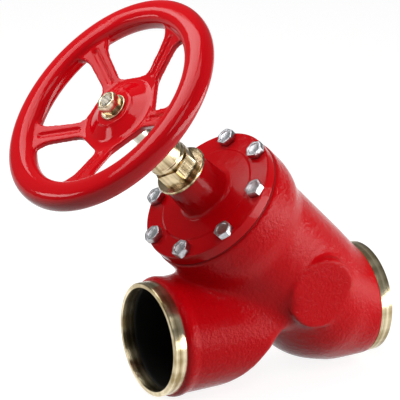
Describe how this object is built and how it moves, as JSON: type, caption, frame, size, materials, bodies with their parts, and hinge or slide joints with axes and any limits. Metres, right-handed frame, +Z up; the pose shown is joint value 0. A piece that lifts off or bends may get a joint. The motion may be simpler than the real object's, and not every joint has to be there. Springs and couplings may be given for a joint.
{
  "type": "shut-off valve",
  "caption": "Oblique shut-off valve for butt-weld pipe, with a bolted bonnet, a packed rising spindle and a spoked handwheel.",
  "frame": {"origin": "centre of the inlet weld face, on the pipe axis", "axes": "+X along the pipe axis from inlet to outlet, +Z up on the side of the handwheel, the stem leans 45 degrees towards the outlet in the XZ plane"},
  "size_m": [0.5708, 0.3468, 0.5883],
  "materials": {
    "red_casting": "gloss",
    "red_bonnet": "gloss",
    "red_wheel": "gloss",
    "gold_steel": "satin",
    "zinc_steel": "satin",
    "plain_steel": "satin",
    "ptfe": "matte",
    "seal_rubber": "matte",
    "gasket_fibre": "matte"
  },
  "bodies": {
    "valve_body": {"housing": "red_casting", "bonnet": "red_bonnet", "bonnet_gasket": "gasket_fibre", "bonnet_bolts": "zinc_steel", "packing_gland": "gold_steel", "gland_gasket": "plain_steel", "packing_washer": "plain_steel", "packing_rings": "ptfe", "packing_spring": "plain_steel", "gland_outer_o_ring": "seal_rubber", "spindle_lower_o_ring": "seal_rubber", "spindle_upper_o_ring": "seal_rubber", "gland_scraper": "ptfe", "back_seat_ring": "ptfe"},
    "cone_group": {"valve_cone": "plain_steel", "cone_seal_ring": "ptfe", "seal_retainer": "plain_steel", "retainer_screw": "zinc_steel", "cone_lock_ring": "plain_steel", "thrust_washer": "plain_steel"},
    "spindle_group": {"spindle": "plain_steel", "handwheel": "red_wheel", "wheel_washer": "gold_steel", "wheel_nut": "gold_steel"}
  },
  "joints": [
    {"name": "stem_lift", "type": "slide", "parent": "valve_body", "child": "cone_group", "axis": [0.7071, 0, 0.7071], "range_m": [0, 0.045]},
    {"name": "wheel_turn", "type": "hinge", "parent": "cone_group", "child": "spindle_group", "pos_m": [0.072, 0, 0], "axis": [0.7071, 0, 0.7071], "range_deg": [0, 2700]}
  ],
  "couplings": [
    {"joint": "stem_lift", "follows": "wheel_turn", "m_per_rad": 0.00095493}
  ]
}
